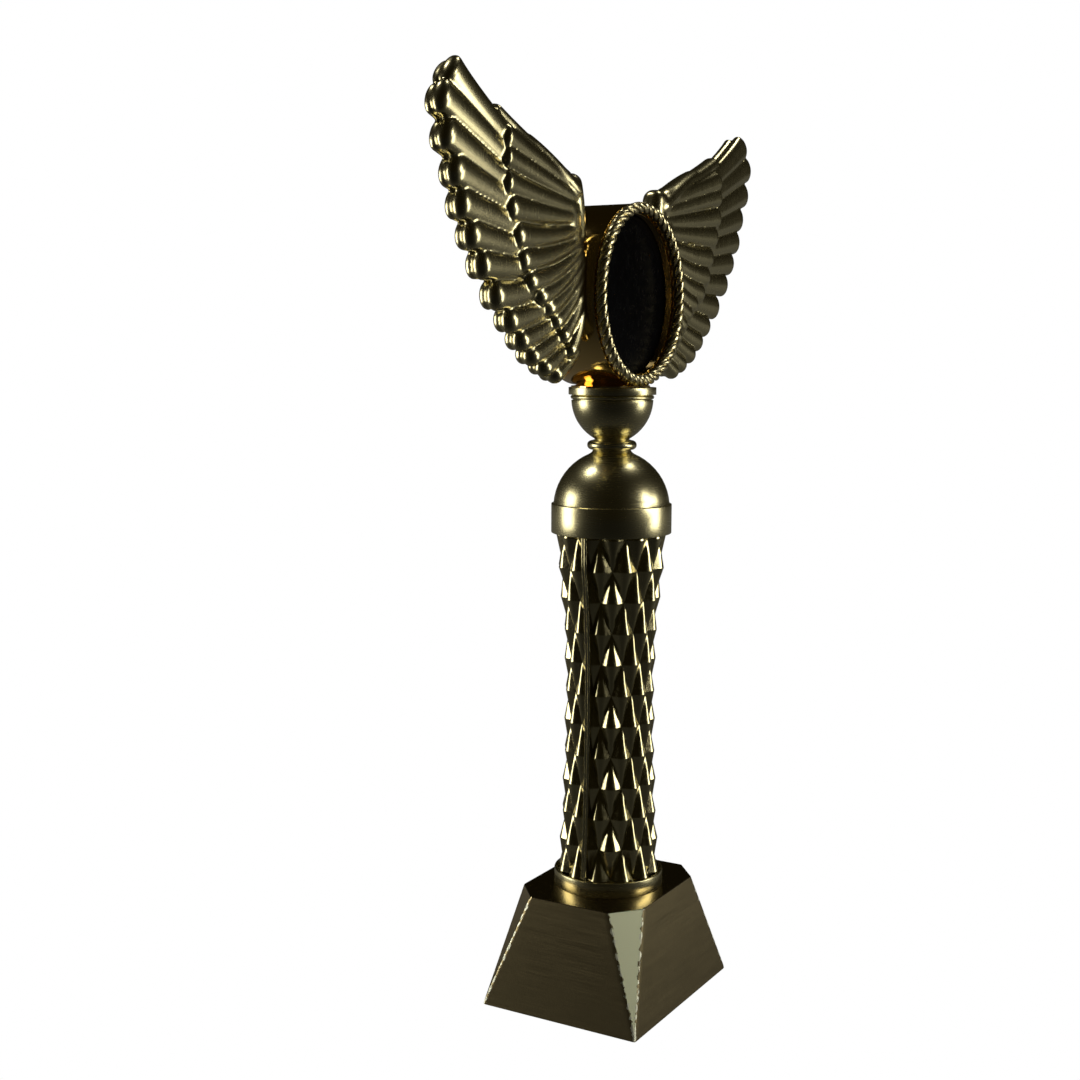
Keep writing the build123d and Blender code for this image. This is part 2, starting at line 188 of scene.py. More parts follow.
def remapped(tree, value, from_low, from_high, to_low=0.0, to_high=1.0):
    """A value stretched from one range to another and held at both ends."""
    stretch = tree.nodes.new("ShaderNodeMapRange")
    stretch.inputs["From Min"].default_value = from_low
    stretch.inputs["From Max"].default_value = from_high
    stretch.inputs["To Min"].default_value = to_low
    stretch.inputs["To Max"].default_value = to_high
    tree.links.new(value, stretch.inputs["Value"])
    return stretch.outputs["Result"]


def blended(tree, kind, first, second, factor):
    """A linked colour or number that the factor turns into a fixed one."""
    mix = tree.nodes.new("ShaderNodeMix")
    mix.data_type = kind
    mix.inputs["B"].default_value = second
    tree.links.new(first, mix.inputs["A"])
    tree.links.new(factor, mix.inputs["Factor"])
    return mix.outputs["Result"]


# %% A helper that builds one metal finish
STREAK_DETAIL = 5.0
CLOUD_SCALE = 55.0
CLOUD_DETAIL = 4.0
STREAK_RANGE = (0.3, 0.7)
BUMP_DISTANCE = 0.0001


def metal(name, colour, shade, roughness, grain, grain_depth, cloud=0.25, spread=0.12):
    """Plated metal. The grain is noise squeezed by three scales, one for each axis."""
    material = bpy.data.materials.new(name)
    material.use_nodes = True
    tree = material.node_tree
    nodes = tree.nodes
    link = tree.links.new
    nodes.clear()
    output = nodes.new("ShaderNodeOutputMaterial")
    shader = nodes.new("ShaderNodeBsdfPrincipled")
    shader.inputs["Metallic"].default_value = 1.0
    link(shader.outputs["BSDF"], output.inputs["Surface"])
    place = nodes.new("ShaderNodeTexCoord")
    squeeze = nodes.new("ShaderNodeMapping")
    squeeze.inputs["Scale"].default_value = grain
    link(place.outputs["Object"], squeeze.inputs["Vector"])
    streaks = noise_value(tree, squeeze.outputs["Vector"], 1.0, STREAK_DETAIL)
    clouds = noise_value(tree, place.outputs["Object"], CLOUD_SCALE, CLOUD_DETAIL)

    dull = nodes.new("ShaderNodeMath")
    dull.operation = "MULTIPLY"
    dull.inputs[1].default_value = cloud * 2
    link(clouds, dull.inputs[0])
    tint = nodes.new("ShaderNodeMix")
    tint.data_type = "RGBA"
    tint.inputs["A"].default_value = (*colour, 1)
    tint.inputs["B"].default_value = (*shade, 1)
    link(dull.outputs["Value"], tint.inputs["Factor"])
    link(tint.outputs["Result"], shader.inputs["Base Color"])

    smoothest = roughness - spread / 2
    roughest = roughness + spread / 2
    polish = remapped(tree, streaks, *STREAK_RANGE, smoothest, roughest)
    link(polish, shader.inputs["Roughness"])
    bump = nodes.new("ShaderNodeBump")
    bump.inputs["Strength"].default_value = grain_depth
    bump.inputs["Distance"].default_value = BUMP_DISTANCE
    link(streaks, bump.inputs["Height"])
    link(bump.outputs["Normal"], shader.inputs["Normal"])
    return material


# %% The gold finishes
GOLD = (0.60, 0.53, 0.28)
DEEP_GOLD = (0.42, 0.36, 0.17)
EVEN_GRAIN = (900, 900, 900)
satin_gold = metal("satin_gold", GOLD, DEEP_GOLD, 0.27, (150, 150, 5000), 0.01, 0.06, 0.01)
column_gold = metal("column_gold", GOLD, DEEP_GOLD, 0.20, EVEN_GRAIN, 0.08)
wing_gold = metal("wing_gold", GOLD, (0.44, 0.37, 0.18), 0.25, (2600, 2600, 160), 0.03, 0.12, 0.05)
polished_gold = metal(
    "polished_gold", (0.82, 0.58, 0.21), (0.70, 0.46, 0.14), 0.08, EVEN_GRAIN, 0.02, 0.2, 0.04,
)
rope_gold = metal(
    "rope_gold", (0.74, 0.64, 0.34), (0.55, 0.45, 0.20), 0.27, EVEN_GRAIN, 0.03, 0.15, 0.05,
)
print("finishes ready:", len(bpy.data.materials))


# %% [markdown]
# ## Column
# The real column is two pressed half shells with a harlequin pattern of diamonds. Each
# diamond is two half cones that meet at a level crease, with a rounded ridge and a flat
# flank on either side. One diamond is enough: its ridge is a vertex swept round a small arc,
# a straight flank is added on both sides, and both tips are joined to that line. Copies go
# round the column and up it, every other row turned by half a diamond, and the whole tube is
# then flared towards both ends.

# %% Column sizes
column_low, column_high = millimetres("column_front_half")
WAIST_RADIUS = 14.95
WAIST_HEIGHT = 106.0
FLARE_BELOW = 0.0005
FLARE_ABOVE = 0.0018
CREST_LIMIT = 17.9
FIRST_LEVEL = 32.2
LEVEL_STEP = 10.2
LEVELS = 14
AROUND = 12
CREST_DEPTH = 2.3
CREASE_STEPS = 12
FLANK_SLOPE = math.radians(45)
CREASE_TURN = math.radians(13)
RIB_HALF_WIDTH = 0.85
RIB_RISE = 0.55
RIB_DEPTH = 3.0
RIB_HEIGHT = 112.6
RIB_MIDDLE = 99.0
RIB_CUTS = 30
RIB_BEVEL = 0.15
RIB_CORNER = 80
SHELL_THICKNESS = 1.0
ROW_MERGE = 0.01


def column_radius(height):
    """The radius of the crests at a height: a waist that flares both ways."""
    flare = FLARE_ABOVE if height > WAIST_HEIGHT else FLARE_BELOW
    return min(CREST_LIMIT, WAIST_RADIUS + flare * (height - WAIST_HEIGHT) ** 2)


print("crests at the bottom, waist and top:", [
    round(column_radius(height), 2) for height in (column_low.z, WAIST_HEIGHT, column_high.z)
])


# %% One diamond
def diamond():
    """Two half cones on the waist radius, facing +X, with their crease at height zero."""
    bm = bmesh.new()
    half_pitch = math.pi / AROUND
    valley = (WAIST_RADIUS - CREST_DEPTH) / math.cos(half_pitch)
    side = valley * math.sin(half_pitch)
    rise = math.sin(FLANK_SLOPE) * math.tan(FLANK_SLOPE) - 1 + math.cos(FLANK_SLOPE)
    ridge = (side * math.tan(FLANK_SLOPE) - CREST_DEPTH) / rise
    start = bm.verts.new((
        WAIST_RADIUS - ridge * (1 - math.cos(FLANK_SLOPE)), -ridge * math.sin(FLANK_SLOPE), 0,
    ))
    swept = bmesh.ops.spin(
        bm, geom=[start], cent=(WAIST_RADIUS - ridge, 0, 0), axis=(0, 0, 1),
        angle=2 * FLANK_SLOPE, steps=CREASE_STEPS,
    )
    end = next(v for v in swept["geom_last"] if isinstance(v, bmesh.types.BMVert))
    for inner, direction in ((start, -1), (end, 1)):
        outer = bm.verts.new((valley * math.cos(half_pitch), direction * side, 0))
        bm.edges.new((inner, outer))
    crease = bm.edges[:]
    for direction in (-1, 1):
        tip = Vector((valley, 0, direction * LEVEL_STEP))
        raised = bmesh.ops.extrude_edge_only(bm, edges=crease)
        new_verts = [v for v in raised["geom"] if isinstance(v, bmesh.types.BMVert)]
        # The copies stop short of the tip first, which keeps the cone's facets narrow.
        for vert in new_verts:
            vert.co = vert.co.lerp(tip, 0.5)
        upper = [e for e in raised["geom"] if isinstance(e, bmesh.types.BMEdge)]
        closing = bmesh.ops.extrude_edge_only(bm, edges=upper)
        for vert in closing["geom"]:
            if isinstance(vert, bmesh.types.BMVert):
                vert.co = tip
    bmesh.ops.remove_doubles(bm, verts=bm.verts, dist=MERGE_WITHIN)
    return bm


# %% Column relief, flared and split
def column_relief():
    """All the diamonds as one tube, flared, and cut level at both ends."""
    bm = diamond()
    first = bm.verts[:] + bm.edges[:] + bm.faces[:]
    pitch = math.tau / AROUND
    for level in range(LEVELS):
        for number in range(AROUND):
            if level == 0 and number == 0:
                continue
            turn = pitch * (number + 0.5 * (level % 2))
            copy = bmesh.ops.duplicate(bm, geom=first)
            verts = [v for v in copy["geom"] if isinstance(v, bmesh.types.BMVert)]
            bmesh.ops.rotate(bm, verts=verts, cent=(0, 0, 0), matrix=Matrix.Rotation(turn, 3, "Z"))
            bmesh.ops.translate(bm, verts=verts, vec=(0, 0, level * LEVEL_STEP))
    bmesh.ops.translate(bm, verts=bm.verts, vec=(0, 0, FIRST_LEVEL))
    bmesh.ops.remove_doubles(bm, verts=bm.verts, dist=ROW_MERGE)
    for height, up in ((column_low.z, -1), (column_high.z, 1)):
        bmesh.ops.bisect_plane(
            bm, geom=bm.verts[:] + bm.edges[:] + bm.faces[:], dist=CUT_WITHIN,
            plane_co=(0, 0, height), plane_no=(0, 0, up), clear_outer=True,
        )
    for vert in bm.verts:
        spread = column_radius(vert.co.z) / WAIST_RADIUS
        vert.co.x *= spread
        vert.co.y *= spread
    return bm


# %% Column halves
def add_rib(bm, side, direction):
    """Half of one parting rib: a tall thin block that follows the flare."""
    rib = bmesh.new()
    bmesh.ops.create_cube(rib, size=1)
    bmesh.ops.scale(rib, vec=(RIB_DEPTH, RIB_HALF_WIDTH, RIB_HEIGHT), verts=rib.verts)
    bmesh.ops.translate(rib, verts=rib.verts, vec=(0, side * RIB_HALF_WIDTH / 2, RIB_MIDDLE))
    uprights = [e for e in rib.edges if e.calc_length() > RIB_HEIGHT / 2]
    bmesh.ops.subdivide_edges(rib, edges=uprights, cuts=RIB_CUTS, use_grid_fill=True)
    soften_corners(rib, RIB_BEVEL, RIB_CORNER)
    for vert in rib.verts:
        vert.co.x = direction * (column_radius(vert.co.z) + RIB_RISE - RIB_DEPTH / 2 + vert.co.x)
    bmesh.ops.recalc_face_normals(rib, faces=rib.faces)
    carrier = bpy.data.meshes.new("rib_carrier")
    rib.to_mesh(carrier)
    rib.free()
    bm.from_mesh(carrier)
    bpy.data.meshes.remove(carrier)


def column_half(name, node, side):
    """One half shell, side -1 in front and 1 behind, with its half of both parting ribs."""
    bm = column_relief()
    bmesh.ops.bisect_plane(
        bm, geom=bm.verts[:] + bm.edges[:] + bm.faces[:], dist=CUT_WITHIN,
        plane_co=(0, 0, 0), plane_no=(0, -side, 0), clear_outer=True,
    )
    bmesh.ops.recalc_face_normals(bm, faces=bm.faces)
    middle = max(bm.faces, key=lambda f: f.calc_center_median().length)
    if middle.normal.dot(middle.calc_center_median()) < 0:
        bmesh.ops.reverse_faces(bm, faces=bm.faces)
    bmesh.ops.solidify(bm, geom=bm.faces[:], thickness=-SHELL_THICKNESS)
    print(name, "crests reach", round(max(v.co.xy.length for v in bm.verts), 2))
    for direction in (-1, 1):
        add_rib(bm, side, direction)
    finish_piece(bm, name, column_gold, "column_gold", node, sharp_turn=CREASE_TURN)


column_half("column_front", "column_front_half", -1)
column_half("column_rear", "column_rear_half", 1)

# %% [markdown]
# ## Foot ring, dome cap and riser cup
# These three are lathe work on the real trophy, so each is a half outline that is spun once
# round the rod. Sharp corners get a very narrow bevel, which is what makes the bright rims.

# %% Foot ring
ring_low, ring_high = millimetres("foot_ring")
ROD_BORE = 3.3
RING_RADIUS = ring_high.x
RING_BORE = 17.1
RING_FLOOR = ring_low.z + 1.5
bm = bmesh.new()
draw_profile(bm, (ROD_BORE, ring_low.z), [
    ("line", RING_RADIUS, ring_low.z),
    ("line", RING_RADIUS, ring_high.z),
    ("line", RING_BORE, ring_high.z),
    ("line", RING_BORE, RING_FLOOR),
    ("line", ROD_BORE, RING_FLOOR),
    ("line", ROD_BORE, ring_low.z),
])
lathe(bm)
soften_corners(bm, 0.25)
finish_piece(bm, "foot_ring_turned", satin_gold, "satin_gold", "foot_ring")

# %% Dome cap
cap_low, cap_high = millimetres("dome_cap")
SKIRT_RADIUS = cap_high.x
SKIRT_TOP = 165.0
DOME_RADIUS = 19.0
DOME_CENTRE = 163.6
NECK_RADIUS = 6.1
NECK_BLEND = 7.4
NECK_SEAT = 3.0
NECK_INSIDE = 5.0
SKIRT_INSIDE = 18.1
SHOULDER_INSIDE = 158.1
DOME_INSIDE_TURN = -84
step_radius = math.sqrt(DOME_RADIUS**2 - (SKIRT_TOP - DOME_CENTRE) ** 2)
start_angle = math.degrees(math.asin((SKIRT_TOP - DOME_CENTRE) / DOME_RADIUS))
end_angle = math.degrees(math.acos(NECK_BLEND / DOME_RADIUS))
blend_height = DOME_CENTRE + DOME_RADIUS * math.sin(math.radians(end_angle))
bm = bmesh.new()
draw_profile(bm, (SKIRT_INSIDE, cap_low.z), [
    ("line", SKIRT_RADIUS, cap_low.z),
    ("line", SKIRT_RADIUS, SKIRT_TOP),
    ("line", step_radius, SKIRT_TOP),
    ("arc", 0, DOME_CENTRE, end_angle - start_angle),
    ("line", NECK_RADIUS + 0.45, blend_height + 0.6),
    ("line", NECK_RADIUS + 0.1, blend_height + 1.2),
    ("line", NECK_RADIUS, cap_high.z),
    ("line", ROD_BORE, cap_high.z),
    ("line", ROD_BORE, cap_high.z - NECK_SEAT),
    ("line", NECK_INSIDE, cap_high.z - NECK_SEAT),
    ("arc", 0, DOME_CENTRE, DOME_INSIDE_TURN),
    ("line", SKIRT_INSIDE, SHOULDER_INSIDE),
    ("line", SKIRT_INSIDE, cap_low.z),
])
lathe(bm)
soften_corners(bm, 0.22)
finish_piece(bm, "dome_cap_turned", satin_gold, "satin_gold", "dome_cap")

# %% Riser cup
cup_low, cup_high = millimetres("riser_cup")
BEAD_RADIUS = 8.05
BEAD_ROUND = 1.45
RIM_RADIUS = cup_high.x
RIM_BOTTOM = 200.3
GROOVE_RADIUS = 12.75
BEAD_ABOVE = 12.9
# The bowl's arc: its centre as (radius, height), its own radius, and where it starts.
BOWL_CENTRE = (-1.6, 199.1)
BOWL_RADIUS = 14.9
BOWL_BOTTOM = 186.2
bowl_start = math.degrees(math.asin((BOWL_BOTTOM - BOWL_CENTRE[1]) / BOWL_RADIUS))
bowl_start_radius = BOWL_CENTRE[0] + BOWL_RADIUS * math.cos(math.radians(bowl_start))
bm = bmesh.new()
draw_profile(bm, (ROD_BORE, cup_low.z), [
    ("line", BEAD_RADIUS - BEAD_ROUND, cup_low.z),
    ("arc", BEAD_RADIUS - BEAD_ROUND, cup_low.z + BEAD_ROUND, 180),
    ("line", bowl_start_radius - 0.35, 185.9),
    ("line", bowl_start_radius, BOWL_BOTTOM),
    ("arc", *BOWL_CENTRE, -bowl_start - 2),
    ("line", GROOVE_RADIUS, 198.6),
    ("line", GROOVE_RADIUS, 198.95),
    ("arc", BEAD_ABOVE, 199.55, 160),
    ("line", BEAD_ABOVE, RIM_BOTTOM),
    ("line", RIM_RADIUS, RIM_BOTTOM + 0.1),
    ("line", RIM_RADIUS, cup_high.z),
    ("line", ROD_BORE, cup_high.z),
    ("line", ROD_BORE, cup_low.z),
])
lathe(bm)
soften_corners(bm, 0.2)
finish_piece(bm, "riser_cup_turned", satin_gold, "satin_gold", "riser_cup")

# %% [markdown]
# ## Round holder
# The holder is a shallow drum lying front to back, with a short flared foot that stands on
# the cup. The drum is turned round its own axis, so its outline is spun upright and then
# tipped forward. The foot is spun on its own and joined to the drum with a boolean, so the
# two are one casting.

# %% Drum
drum_low, drum_high = millimetres("figure_drum")
DRUM_RADIUS = drum_high.x
DRUM_HEIGHT = drum_high.z - DRUM_RADIUS
DRUM_FRONT = drum_low.y
DRUM_BACK = drum_high.y
RECESS_RADIUS = 25.4
WEB_FRONT = -4.6
REAR_HOLLOW = 26.6
REAR_STEP = 1.5
DRUM_SIDES = 160
bm = bmesh.new()
draw_profile(bm, (0, WEB_FRONT), [
    ("line", RECESS_RADIUS, WEB_FRONT),
    ("line", RECESS_RADIUS, DRUM_FRONT),
    ("line", DRUM_RADIUS, DRUM_FRONT),
    ("line", DRUM_RADIUS, DRUM_BACK),
    ("line", REAR_HOLLOW, DRUM_BACK),
    ("line", REAR_HOLLOW, DRUM_BACK - REAR_STEP),
    ("line", 0, DRUM_BACK - REAR_STEP),
])
lathe(bm, DRUM_SIDES)
soften_corners(bm, 0.25)
tipped_forward = Matrix.Rotation(math.radians(-90), 3, "X")
bmesh.ops.rotate(bm, verts=bm.verts, cent=(0, 0, 0), matrix=tipped_forward)
bmesh.ops.translate(bm, verts=bm.verts, vec=(0, 0, DRUM_HEIGHT))
drum = finish_piece(bm, "holder_drum", polished_gold, "polished_gold", "figure_drum")

# %% Foot
FOOT_RADIUS = 13.4
FOOT_BOTTOM = drum_low.z
FOOT_RIM = 0.5
FLARE = 4.6
FLARE_TURN = -80
FOOT_SIDES = 96
bm = bmesh.new()
draw_profile(bm, (0, FOOT_BOTTOM), [
    ("line", FOOT_RADIUS, FOOT_BOTTOM),
    ("line", FOOT_RADIUS, FOOT_BOTTOM + FOOT_RIM),
    ("arc", FOOT_RADIUS, FOOT_BOTTOM + FOOT_RIM + FLARE, FLARE_TURN),
    ("line", 0, FOOT_BOTTOM + FOOT_RIM + FLARE),
])
lathe(bm, FOOT_SIDES)
bmesh.ops.bisect_plane(
    bm, geom=bm.verts[:] + bm.edges[:] + bm.faces[:], dist=CUT_WITHIN,
    plane_co=(0, DRUM_FRONT + 0.1, 0), plane_no=(0, -1, 0), clear_outer=True,
)
bmesh.ops.holes_fill(bm, edges=bm.edges[:], sides=0)
bmesh.ops.recalc_face_normals(bm, faces=bm.faces)
combine(drum, "UNION", linked_object(bm, "foot_blank"))
print("holder faces", len(drum.data.polygons))

# %% [markdown]
# The rope round the holder is three strands laid together. A strand is a flattened circle
# that is screwed along a straight rope with the spin operator's step, and the straight rope
# is then bent into a ring. Forty-eight crowns show round the ring, so three strands make
# sixteen turns.

# %% Rope ring
rope_low, rope_high = millimetres("rope_ring")
ROPE_THICKNESS = (rope_high.y - rope_low.y) / 2
ROPE_RADIUS = (rope_high.x - rope_low.x) / 2 - ROPE_THICKNESS
ROPE_FRONT = (rope_high.y + rope_low.y) / 2
STRANDS = 3
ROPE_TURNS = 16
STEPS_A_TURN = 16
STRAND_SIDES = 12
STRAND_FLATNESS = 1.3
ENDS_MERGE = 0.02
strand_radius = ROPE_THICKNESS / (1 + 2 / math.sqrt(3))
strand_offset = ROPE_THICKNESS - strand_radius
rope_length = math.tau * ROPE_RADIUS
bm = bmesh.new()
for strand in range(STRANDS):
    ring = bmesh.ops.create_circle(bm, segments=STRAND_SIDES, radius=strand_radius)
    verts = ring["verts"]
    edges = list({e for v in verts for e in v.link_edges})
    bmesh.ops.scale(bm, vec=(1, STRAND_FLATNESS, 1), verts=verts)
    bmesh.ops.translate(bm, verts=verts, vec=(strand_offset, 0, 0))
    turn = Matrix.Rotation(math.tau * strand / STRANDS, 3, "Z")
    bmesh.ops.rotate(bm, verts=verts, cent=(0, 0, 0), matrix=turn)
    steps = ROPE_TURNS * STEPS_A_TURN
    bmesh.ops.spin(
        bm, geom=verts + edges, cent=(0, 0, 0), axis=(0, 0, 1),
        angle=-math.tau * ROPE_TURNS, steps=steps, dvec=(0, 0, rope_length / steps),
    )
for vert in bm.verts:
    along = vert.co.z / rope_length * math.tau
    reach = ROPE_RADIUS + vert.co.x
    depth = ROPE_FRONT + vert.co.y
    vert.co = Vector((reach * math.sin(along), depth, DRUM_HEIGHT + reach * math.cos(along)))
bmesh.ops.remove_doubles(bm, verts=bm.verts, dist=ENDS_MERGE)
finish_piece(bm, "rope_rim", rope_gold, "polished_gold", "rope_ring")

# %% [markdown]
# ## Wings
# Each wing is one casting with the same relief on its front and back. A feather is a ball
# that is stretched along a curved line from its round tip to its root and flattened. Long
# feathers lie underneath and shorter cover feathers on top of them. The long feathers come
# in a front layer and a back layer, and the front one reaches a little further out. Broad
# thin webs fill what would show through between them. All are then fused with a voxel
# remesh, which leaves the soft valleys of a casting, and the side that meets the drum is cut
# to its curve.

# %% Feather lines
# For each feather: far tip, a point half-way, and inner end, as (x, z) on the right wing,
# then its half width at the tip and at the inner end.
LONG_FEATHERS = (
    ((97.3, 289.6), (85.0, 282.0), (62.0, 270.5), 4.9, 3.6),
    ((102.2, 281.8), (86.5, 275.8), (62.0, 265.5), 4.9, 3.6),
    ((100.2, 272.6), (84.5, 267.3), (60.0, 259.0), 4.9, 3.5),
    ((96.4, 263.4), (80.0, 259.5), (58.0, 254.5), 4.9, 3.5),
    ((93.2, 254.6), (78.5, 252.2), (56.0, 248.5), 4.7, 3.4),
    ((88.6, 246.5), (74.0, 245.0), (54.0, 243.0), 4.6, 3.3),
    ((83.2, 238.3), (70.0, 238.2), (50.0, 238.2), 4.5, 3.2),
    ((76.2, 229.9), (62.5, 231.0), (43.0, 234.0), 4.6, 3.1),
    ((68.8, 222.7), (55.0, 225.2), (38.0, 230.0), 4.1, 2.8),
    ((62.6, 217.0), (49.5, 220.4), (35.0, 226.5), 3.7, 2.5),
    ((56.6, 212.4), (44.0, 216.5), (31.0, 223.5), 3.4, 2.3),
    ((49.4, 208.7), (38.5, 213.2), (28.5, 219.5), 3.2, 2.1),
    ((42.8, 206.6), (35.0, 210.0), (27.0, 215.5), 2.9, 2.0),
)
COVER_FEATHERS = (
    ((72.4, 274.2), (57.0, 270.2), (29.0, 262.8), 3.5, 2.3),
    ((72.6, 268.6), (57.0, 265.6), (27.0, 259.4), 3.4, 2.2),
    ((72.4, 261.8), (55.8, 259.4), (26.4, 256.6), 3.7, 2.1),
    ((70.6, 254.6), (51.5, 254.0), (26.2, 254.0), 3.9, 1.9),
    ((67.0, 247.2), (48.5, 247.6), (26.0, 251.2), 3.8, 1.8),
    ((64.4, 240.4), (47.0, 242.2), (26.0, 248.4), 3.7, 1.7),
    ((60.4, 234.2), (43.0, 237.8), (26.2, 246.2), 3.5, 1.6),
    ((54.6, 229.8), (39.2, 235.0), (26.4, 244.4), 3.1, 1.4),
    ((50.0, 226.2), (36.2, 232.6), (26.2, 242.8), 2.9, 1.3),
    ((45.8, 222.0), (33.8, 230.0), (26.0, 241.4), 2.8, 1.2),
    ((41.2, 217.6), (31.4, 227.0), (25.8, 240.0), 2.7, 1.1),
    ((36.6, 213.0), (29.4, 223.8), (25.6, 238.6), 2.6, 1.0),
)
LEADING_EDGE = (
    ((74.5, 281.2), (55.0, 273.4), (28.6, 264.4), 2.2, 2.4),
    ((58.0, 275.0), (44.0, 269.4), (26.6, 260.4), 2.2, 3.4),
)
SHOULDER = ((30.6, 267.4), (28.0, 258.0), (27.4, 246.0), 4.0, 3.4)
WEBS = (
    ((66.0, 268.0), (50.0, 256.0), (32.0, 244.0), 9.0, 9.0),
    ((64.0, 250.0), (48.0, 240.0), (32.0, 228.0), 8.0, 8.0),
    ((54.0, 230.0), (42.0, 224.0), (31.0, 218.0), 6.0, 5.0),
)
ROOT_BODY = ((33.0, 260.0), (31.0, 238.0), (32.0, 214.0), 6.0, 4.5)
print("long feathers", len(LONG_FEATHERS), "cover feathers", len(COVER_FEATHERS))

# %% Feather sections
# Each pair says how far forward the middle lies at the tip and at the inner end. The number
# after it is half the thickness.
FRONT_SECTION = ((1.5, 1.9), 2.8)
BACK_SECTION = ((-1.9, -1.9), 2.4)
EDGE_SECTION = ((0.3, 0.3), 3.2)
WEB_SECTION = ((0.0, 0.0), 3.0)
# The covers and the two inner bodies lie as far back on the rear face, so their depths
# change sign with the side. The covers' inner ends rise from the first to the last.
COVER_TIP = 3.6
COVER_ROOT = 2.4
COVER_ROOT_RISE = 2.6
COVER_HALF = 2.3
ROOT_BODY_DEPTHS = (1.0, 2.2)
SHOULDER_DEPTHS = (0.5, 1.6)
BODY_HALF = 3.4
BACK_INSET = 1.5
BACK_NARROWER = 0.4
ROOT_ROUNDING = 0.12
RINGS_A_FEATHER = 40
SIDES_A_FEATHER = 20
print("half thickness of the front layer", FRONT_SECTION[1], "and the back", BACK_SECTION[1])


# %% One feather
def feather(bm, line, depth, half_thickness):
    """A ball stretched along its line. Depth is how far forward its middle lies at tip and root."""
    (tip_x, tip_z), (mid_x, mid_z), (root_x, root_z), tip_width, root_width = line
    tip = Vector((tip_x, 0, tip_z))
    middle = Vector((mid_x, 0, mid_z))
    root = Vector((root_x, 0, root_z))
    bend = middle * 2 - (tip + root) / 2
    length = (tip - middle).length + (middle - root).length
    ball = bmesh.ops.create_uvsphere(
        bm, u_segments=SIDES_A_FEATHER, v_segments=RINGS_A_FEATHER, radius=1,
    )
    for vert in ball["verts"]:
        polar = math.acos(max(-1.0, min(1.0, vert.co.z)))
        ring = math.hypot(vert.co.x, vert.co.y)
        around = (vert.co.x / ring, vert.co.y / ring) if ring > 1e-6 else (0.0, 0.0)
        if polar < math.pi / 2:
            along = tip_width * (1 - math.cos(polar))
            width = tip_width * math.sin(polar)
            share = along / length
        else:
            beyond = (polar - math.pi / 2) / (math.pi / 2)
            along = tip_width + beyond * (length - tip_width)
            share = along / length
            closing = max(0.0, (beyond - 1 + ROOT_ROUNDING) / ROOT_ROUNDING)
            tapered = tip_width + (root_width - tip_width) * beyond
            width = tapered * math.sqrt(max(0.0, 1 - closing**2))
        point = tip * (1 - share) ** 2 + bend * 2 * share * (1 - share) + root * share**2
        heading = (bend - tip) * 2 * (1 - share) + (root - bend) * 2 * share
        heading.normalize()
        across = Vector((-heading.z, 0, heading.x))
        thickness = half_thickness * width / max(tip_width, 0.01)
        forward = depth[0] + (depth[1] - depth[0]) * share
        backward = Vector((0, 1, 0)) * (around[1] * thickness - forward)
        vert.co = point + across * around[0] * width + backward


# %% The whole wing, still as separate balls
def inset(line):
    """The same feather for the back layer: its tip stops short and is a little slimmer."""
    tip, middle, root, tip_width, root_width = line
    outward = (Vector(tip) - Vector(middle)).normalized()
    shorter = Vector(tip) - outward * BACK_INSET
    return (shorter, middle, root, tip_width - BACK_NARROWER, root_width)


def on_side(depths, side):
    """Depths for one face of the wing, in front when side is 1 and behind when it is -1."""
    return (depths[0] * side, depths[1] * side)


def one_face(bm, side):
    """The feathers of one face of the wing. Side is 1 in front and -1 behind."""
    for line in LONG_FEATHERS:
        if side == 1:
            feather(bm, line, *FRONT_SECTION)
        else:
            feather(bm, inset(line), *BACK_SECTION)
    for number, line in enumerate(COVER_FEATHERS):
        share = number / (len(COVER_FEATHERS) - 1)
        depths = (COVER_TIP, COVER_ROOT + COVER_ROOT_RISE * share)
        feather(bm, line, on_side(depths, side), COVER_HALF)
    feather(bm, ROOT_BODY, on_side(ROOT_BODY_DEPTHS, side), BODY_HALF)
    feather(bm, SHOULDER, on_side(SHOULDER_DEPTHS, side), BODY_HALF)


def wing_blank():
    """The right wing: the feathers of both faces, the leading edge and the webs."""
    bm = bmesh.new()
    for side in (1, -1):
        one_face(bm, side)
    for line in LEADING_EDGE:
        feather(bm, line, *EDGE_SECTION)
    for line in WEBS:
        feather(bm, line, *WEB_SECTION)
    bmesh.ops.recalc_face_normals(bm, faces=bm.faces)
    return bm


# %% Fuse the wing
VOXEL = 0.4
blank = linked_object(wing_blank(), "wing_blank")
fuse = blank.modifiers.new("fuse", "REMESH")
fuse.mode = "VOXEL"
fuse.voxel_size = VOXEL * MM
fuse.use_smooth_shade = True
apply_modifiers(blank)
print("fused wing faces", len(blank.data.polygons))

# %% Cut the wing to the drum
CUTTER_DEPTH = 60
bm = bmesh.new()
bmesh.ops.create_cone(
    bm, cap_ends=True, segments=DRUM_SIDES,
    radius1=DRUM_RADIUS, radius2=DRUM_RADIUS, depth=CUTTER_DEPTH,
)
laid_down = Matrix.Rotation(math.radians(90), 3, "X")
bmesh.ops.rotate(bm, verts=bm.verts, cent=(0, 0, 0), matrix=laid_down)
bmesh.ops.translate(bm, verts=bm.verts, vec=(0, 0, DRUM_HEIGHT))
combine(blank, "DIFFERENCE", linked_object(bm, "drum_cutter"))
print("cut wing faces", len(blank.data.polygons))

# %% Both wings
SMOOTHINGS = 5


def wing(name, node, side):
    """The fused wing as a piece, mirrored when side is -1."""
    bm = bmesh.new()
    bm.from_mesh(blank.data)
    bmesh.ops.scale(bm, vec=(side / MM, 1 / MM, 1 / MM), verts=bm.verts)
    for _ in range(SMOOTHINGS):
        bmesh.ops.smooth_vert(
            bm, verts=bm.verts, factor=0.5, use_axis_x=True, use_axis_y=True, use_axis_z=True,
        )
    finish_piece(bm, name, wing_gold, "wing_gold", node)


